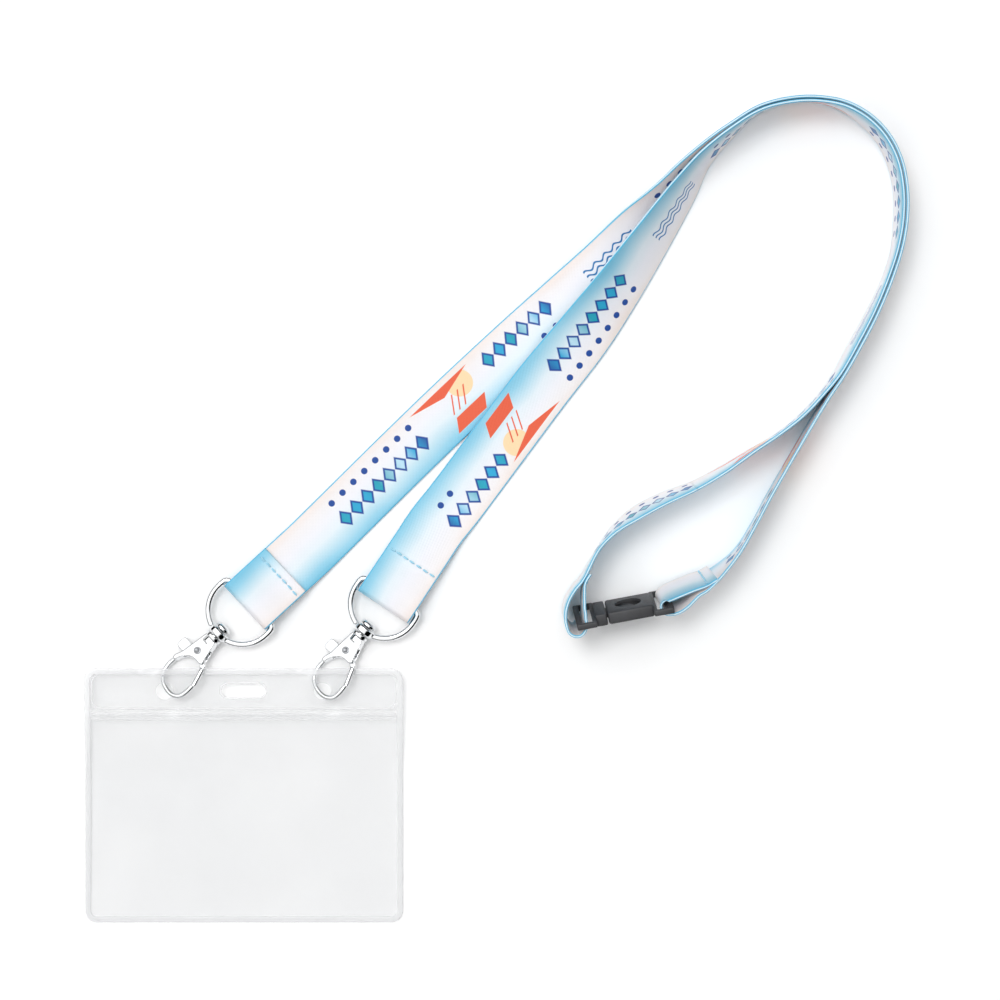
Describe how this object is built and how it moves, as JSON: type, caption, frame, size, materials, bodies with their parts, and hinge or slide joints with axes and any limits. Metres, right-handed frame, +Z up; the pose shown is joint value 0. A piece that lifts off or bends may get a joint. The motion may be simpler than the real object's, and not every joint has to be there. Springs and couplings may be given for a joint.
{
  "type": "lanyard badge holder",
  "caption": "Clear landscape card pocket hung by swivel trigger hooks and D rings from printed webbing straps that join in a break-away buckle, lying on a table.",
  "frame": {"origin": "centre of the footprint of the laid-out lanyard, on the table", "axes": "+Z up from the table; +Y from the card pocket's lower edge towards its header strip; +X from the card pocket towards the buckle"},
  "size_m": [0.2724, 0.2756, 0.0237],
  "materials": {
    "clear_vinyl": "clear flexible vinyl with welded edges, faintly milky",
    "chrome_plate": "polished plating on die-cast metal",
    "pin_steel": "plain spring and rivet steel",
    "black_plastic": "moulded, fine matte",
    "printed_webbing": "smooth satin polyester webbing, dye printed in pale blue with coral, sand and navy motifs",
    "sewing_thread": "light blue polyester thread"
  },
  "bodies": {
    "root": {"holder_back_sheet": "clear_vinyl", "holder_header_strip": "clear_vinyl", "holder_pocket_sheet": "clear_vinyl", "d_ring_left": "chrome_plate", "d_ring_right": "chrome_plate", "strap_left": "printed_webbing", "strap_right": "printed_webbing", "hook_loop_thread_left": "sewing_thread", "hook_loop_thread_right": "sewing_thread", "buckle_loop_thread_left": "sewing_thread", "buckle_loop_thread_right": "sewing_thread", "buckle_female": "black_plastic"},
    "hook_left": {"hook_body_left": "chrome_plate", "swivel_rivet_left": "chrome_plate", "gate_pin_left": "pin_steel", "gate_spring_left": "pin_steel"},
    "hook_right": {"hook_body_right": "chrome_plate", "swivel_rivet_right": "chrome_plate", "gate_pin_right": "pin_steel", "gate_spring_right": "pin_steel"},
    "gate_left": {"gate_lever_left": "chrome_plate"},
    "gate_right": {"gate_lever_right": "chrome_plate"},
    "buckle_male": {"buckle_male": "black_plastic"}
  },
  "joints": [
    {"name": "hook_left_swivel", "type": "hinge", "parent": "root", "child": "hook_left", "pos_m": [-0.09143, -0.04109, 0.00413], "axis": [-0.7307, -0.6813, -0.0436], "range_deg": [-6, 18]},
    {"name": "hook_right_swivel", "type": "hinge", "parent": "root", "child": "hook_right", "pos_m": [-0.04303, -0.04019, 0.00413], "axis": [-0.6422, -0.7653, -0.0436], "range_deg": [-6, 18]},
    {"name": "gate_left_turn", "type": "hinge", "parent": "hook_left", "child": "gate_left", "pos_m": [-0.09782, -0.04742, 0.00385], "axis": [0.2851, -0.2464, -0.9263], "range_deg": [0, 22], "stiffness_Nm_per_rad": 0.03, "springref_deg": -17.19},
    {"name": "gate_right_turn", "type": "hinge", "parent": "hook_right", "child": "gate_right", "pos_m": [-0.0486, -0.04726, 0.00385], "axis": [0.313, -0.2098, -0.9263], "range_deg": [0, 22], "stiffness_Nm_per_rad": 0.03, "springref_deg": -17.19},
    {"name": "buckle_pull", "type": "slide", "parent": "root", "child": "buckle_male", "axis": [-0.9833, -0.1822, 0], "range_m": [0, 0.009], "deforming": ["strap_right"]}
  ]
}
